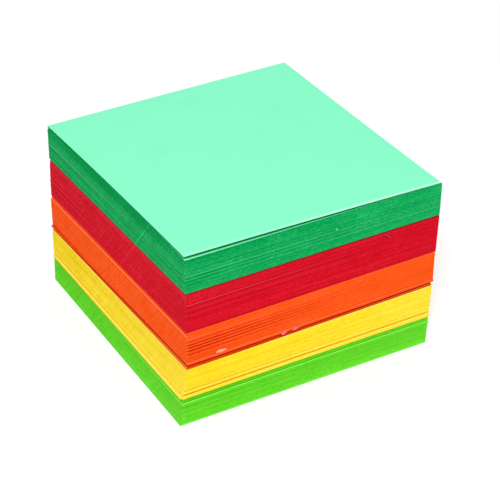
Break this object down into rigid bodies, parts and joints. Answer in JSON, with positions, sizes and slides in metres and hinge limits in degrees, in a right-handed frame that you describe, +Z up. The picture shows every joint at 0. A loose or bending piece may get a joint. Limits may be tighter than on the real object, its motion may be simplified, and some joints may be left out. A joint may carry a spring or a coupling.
{
  "type": "memo cube",
  "caption": "Loose pile of square coloured note sheets in five blocks of colour, a little askew, with a curled top sheet; notes are taken off the top.",
  "frame": {"origin": "middle of the bottom face, on the table", "axes": "+Z up; -Y out of the front face, -X out of the left face"},
  "size_m": [0.0777, 0.0781, 0.0508],
  "materials": {
    "mint_paper": "uncoated dyed offset paper, face of the sheet",
    "green_paper": "uncoated dyed offset paper, cut edges",
    "red_paper": "uncoated dyed offset paper, cut edges",
    "orange_paper": "uncoated dyed offset paper, cut edges",
    "yellow_paper": "uncoated dyed offset paper, cut edges",
    "lime_paper": "uncoated dyed offset paper, cut edges"
  },
  "bodies": {
    "root": {"top_sheet": "mint_paper", "green_block": "green_paper", "red_block": "red_paper", "orange_block": "orange_paper", "orange_packet": "orange_paper", "yellow_block": "yellow_paper", "lime_block": "lime_paper"}
  },
  "joints": []
}
